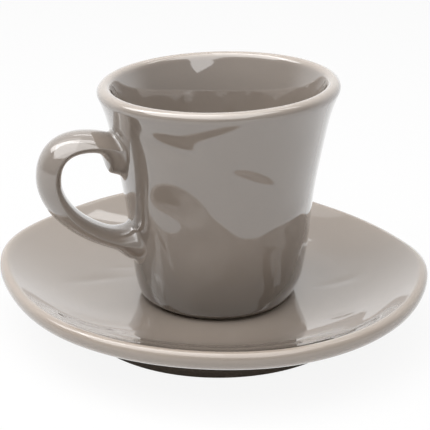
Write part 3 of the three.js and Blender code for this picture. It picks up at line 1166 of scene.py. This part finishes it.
@dataclass
class Studio:
    """Camera, pale floor, pale surroundings and soft lamps."""

    axis: Array
    view_turn: float = -21.0
    camera_right: float = -0.95
    camera_back: float = 350.0
    camera_height: float = 165.34
    camera_pitch: float = 0.3676
    lens: float = 113.45
    sensor: float = 36.0
    clip_start: float = 0.01
    aim_height: float = 35.0
    floor_size: float = 3.0
    floor_albedo: float = 0.75
    floor_glow: float = 0.9
    # Disc of painted shade under the saucer: no floor glow inside the first radius, full glow from the second
    shade_radius: tuple[float, float] = (34.0, 38.2)
    surround_light: float = 0.02
    front_seen: float = 0.42
    front_range: tuple[float, float] = (-0.1, 0.5)
    softboxes: tuple[Softbox, ...] = (
        Softbox("overhead_strip", 0.0, 0.1, 0.6, 1.1, 0.12, 0.9),
        Softbox("front_softbox", -0.1, -0.25, 0.7, 1.4, 0.8, 6.8),
        Softbox("high_left_softbox", -0.35, 0.0, 0.75, 0.8, 0.8, 1.4),
        Softbox("left_softbox", -0.6, 0.15, 0.55, 0.25, 0.25, 0.5),
        Softbox("back_softbox", 0.03, 0.45, 0.58, 0.36, 0.05, 0.13),
    )

    def directions(self) -> Pair:
        """Level directions to the right of the view and away from the viewer.

        Returns:
            Two arrays of 3 numbers.
        """
        turn = math.radians(self.view_turn)
        right = np.array([math.cos(turn), math.sin(turn), 0.0])
        return right, np.array([-right[1], right[0], 0.0])

    def camera(self) -> None:
        """Place the camera at the photograph's viewing angle, looking away and down by its pitch."""
        data = bpy.data.cameras.new("viewpoint")
        data.lens = self.lens
        data.sensor_width = self.sensor
        data.clip_start = self.clip_start
        camera = bpy.data.objects.new("viewpoint", data)
        bpy.context.scene.collection.objects.link(camera)
        right, away = self.directions()
        place = right * self.camera_right - away * self.camera_back
        place = place + np.array([*self.axis[:2], self.camera_height])
        look = away * math.cos(self.camera_pitch) - np.array([0.0, 0.0, math.sin(self.camera_pitch)])
        camera.rotation_euler = Vector(look).to_track_quat("-Z", "Y").to_euler()
        camera.location = Vector(place * MM)
        bpy.context.scene.camera = camera

    def floor(self) -> None:
        """Lay the pale floor, which takes the object's shadow.

        Part of it glows white, for the camera and in gloss; under the saucer a disc of painted shade holds
        the glow back.
        """
        half = self.floor_size / 2
        mesh = bpy.data.meshes.new("pale_floor")
        corners = [(-half, -half, 0.0), (half, -half, 0.0), (half, half, 0.0), (-half, half, 0.0)]
        mesh.from_pydata(corners, [], [(0, 1, 2, 3)])
        floor = bpy.data.objects.new("pale_floor", mesh)
        bpy.context.scene.collection.objects.link(floor)
        material = bpy.data.materials.new("pale_floor")
        material.use_nodes = True
        tree = material.node_tree
        tree.nodes.remove(tree.nodes["Principled BSDF"])
        albedo = (self.floor_albedo,) * 3
        plain = add_node(tree, "BsdfDiffuse", {"Color": (*albedo, 1.0)}).outputs["BSDF"]
        paper = add_node(tree, "BsdfDiffuse", {"Color": WHITE}).outputs["BSDF"]
        glow = add_node(tree, "Emission", {"Strength": 1.0}).outputs["Emission"]
        glow_outside_shade = self.glow_outside_painted_shade(tree)
        lit = add_node(tree, "MixShader", {"Fac": glow_outside_shade, 1: paper, 2: glow}).outputs["Shader"]
        seen = self.seen_directly(tree)
        choice = add_node(tree, "MixShader", {"Fac": seen, 1: plain, 2: lit})
        tree.links.new(choice.outputs["Shader"], tree.nodes["Material Output"].inputs["Surface"])
        mesh.materials.append(material)

    def glow_outside_painted_shade(self, tree: Tree) -> Socket:
        """Socket with the floor's share of glow: none in the disc of painted shade under the saucer, full on
        the open floor.

        Args:
            tree: The node tree that takes the nodes.

        Returns:
            The output socket.
        """
        place = add_node(tree, "TexCoord", {}).outputs["Object"]
        middle = (*(self.axis[:2] * MM), 0.0)
        offset = add_node(tree, "VectorMath", {0: place, 1: middle}, operation="DISTANCE")
        shade = {
            "Value": offset.outputs["Value"],
            "From Min": self.shade_radius[0] * MM,
            "From Max": self.shade_radius[1] * MM,
            "To Max": self.floor_glow,
        }
        return add_node(tree, "MapRange", shade).outputs["Result"]

    @staticmethod
    def seen_directly(tree: Tree) -> Socket:
        """Socket that is 1 for camera, glossy and transmission rays and 0 for the rest.

        Args:
            tree: The node tree that takes the nodes.

        Returns:
            The output socket.
        """
        path = add_node(tree, "LightPath", {}).outputs
        seen = path["Is Camera Ray"]
        for ray in ("Is Glossy Ray", "Is Transmission Ray"):
            seen = add_node(tree, "Math", {0: seen, 1: path[ray]}, operation="MAXIMUM").outputs["Value"]
        return seen

    def surroundings(self) -> None:
        """White surroundings for the camera, dimmer towards the viewer in gloss, and a weak even light."""
        world = bpy.data.worlds.new("pale_surroundings")
        world.use_nodes = True
        tree = world.node_tree
        place = add_node(tree, "TexCoord", {}).outputs["Generated"]
        away = Vector(self.directions()[1])
        backwards = add_node(tree, "VectorMath", {0: place, 1: away}, operation="DOT_PRODUCT")
        front = {
            "Value": backwards.outputs["Value"],
            "From Min": self.front_range[0],
            "From Max": self.front_range[1],
            "To Min": self.front_seen,
        }
        mirrored = add_node(tree, "MapRange", front, interpolation_type="SMOOTHSTEP").outputs["Result"]
        camera = add_node(tree, "LightPath", {}).outputs["Is Camera Ray"]
        seen = add_node(tree, "Math", {0: mirrored, 1: camera}, operation="MAXIMUM").outputs["Value"]
        levels = {"Value": self.seen_directly(tree), "To Min": self.surround_light, "To Max": seen}
        strength = add_node(tree, "MapRange", levels).outputs["Result"]
        background = tree.nodes["Background"]
        background.inputs["Color"].default_value = WHITE
        tree.links.new(strength, background.inputs["Strength"])
        bpy.context.scene.world = world

    def lamps(self) -> None:
        """Hang the softboxes and aim each at the cup's middle."""
        target = np.array([*self.axis[:2], self.aim_height]) * MM
        right, away = self.directions()
        for box in self.softboxes:
            data = bpy.data.lights.new(box.name, "AREA")
            data.shape = "RECTANGLE"
            data.size = box.width
            data.size_y = box.depth
            data.energy = box.power
            lamp = bpy.data.objects.new(box.name, data)
            bpy.context.scene.collection.objects.link(lamp)
            place = target + right * box.right + away * box.away + np.array([0.0, 0.0, box.up])
            lamp.rotation_euler = Vector(target - place).to_track_quat("-Z", "Y").to_euler()
            lamp.location = Vector(place)
            log.info("%s: %.1f W", box.name, box.power)

    def build(self) -> None:
        """Build the camera, then the floor, the surroundings and the lamps."""
        self.camera()
        self.floor()
        self.surroundings()
        self.lamps()
        bpy.context.scene.view_settings.view_transform = "Standard"


def standing_place(node: str) -> Array:
    """Axis and foot height of a round CAD node, in millimetres.

    Args:
        node: Name of the node.

    Returns:
        The middle of its foot.
    """
    low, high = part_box(node)
    middle = (low + high) / (2 * MM)
    return np.array([middle.x, middle.y, low.z / MM])


def main() -> None:
    """Build the studio, the saucer, the cup and the handle, and dress them."""
    logging.basicConfig(level=logging.INFO, format="%(name)s: %(message)s")
    cup_place = standing_place("cup_foot_ring")
    saucer_place = standing_place("saucer_foot_ring")
    Studio(cup_place).build()
    mottle = mottle_group()
    cup_glaze = CUP_GLAZE.material(mottle)
    saucer_glaze = SAUCER_GLAZE_WITH_PAINTED_LIGHT.material(mottle)
    dry = DRY_FOOT.material(mottle)
    wall = CupWall()
    saucer = Saucer(saucer_place, well_radius=wall.heel_radius + WELL_CLEARANCE)
    saucer.build()
    saucer.dress(saucer_glaze, dry)
    cup = Cup(wall, cup_place)
    cup.build()
    cup.dress(cup_glaze, dry)
    handle = Handle(wall, cup_place)
    handle.build()
    handle.dress(cup_glaze)


if __name__ == "__main__":
    main()
